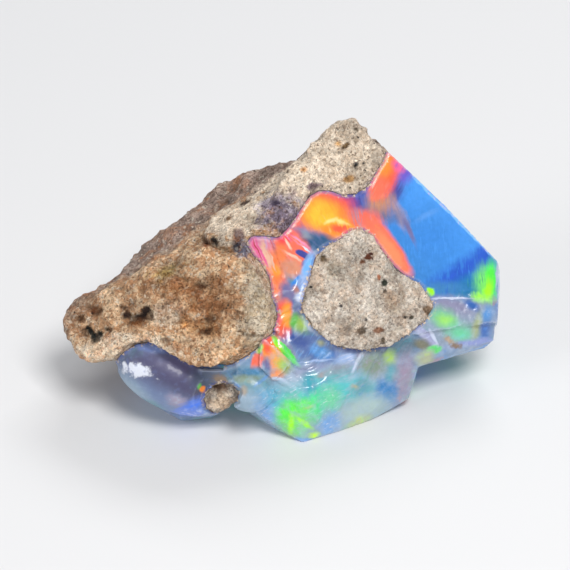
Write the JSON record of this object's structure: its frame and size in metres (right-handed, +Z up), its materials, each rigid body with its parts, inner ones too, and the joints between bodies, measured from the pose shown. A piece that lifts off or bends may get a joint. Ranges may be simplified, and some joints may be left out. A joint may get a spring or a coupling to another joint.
{
  "type": "rough opal",
  "caption": "Rough, unpolished precious opal, broken open on one side and still grown to its brown volcanic host rock, resting on its flat underside.",
  "frame": {"origin": "on the resting plane, under the middle of the stone's bounding box", "axes": "+X to the right along the broken face, +Y to the back, away from the broken face, +Z up"},
  "size_m": [0.0302, 0.018, 0.0182],
  "materials": {
    "opal": "clear to milky precious opal with a glassy break and play of colour",
    "host_rock": "dry, gritty, speckled tan-brown volcanic rock",
    "rock_island": "dry, gritty, pale grey-beige volcanic rock with dark specks",
    "rock_crumb": "dry, gritty, pale grey-beige volcanic rock"
  },
  "bodies": {
    "root": {"opal": "opal", "host_rock": "host_rock", "rock_island": "rock_island", "rock_crumb": "rock_crumb"}
  },
  "joints": []
}
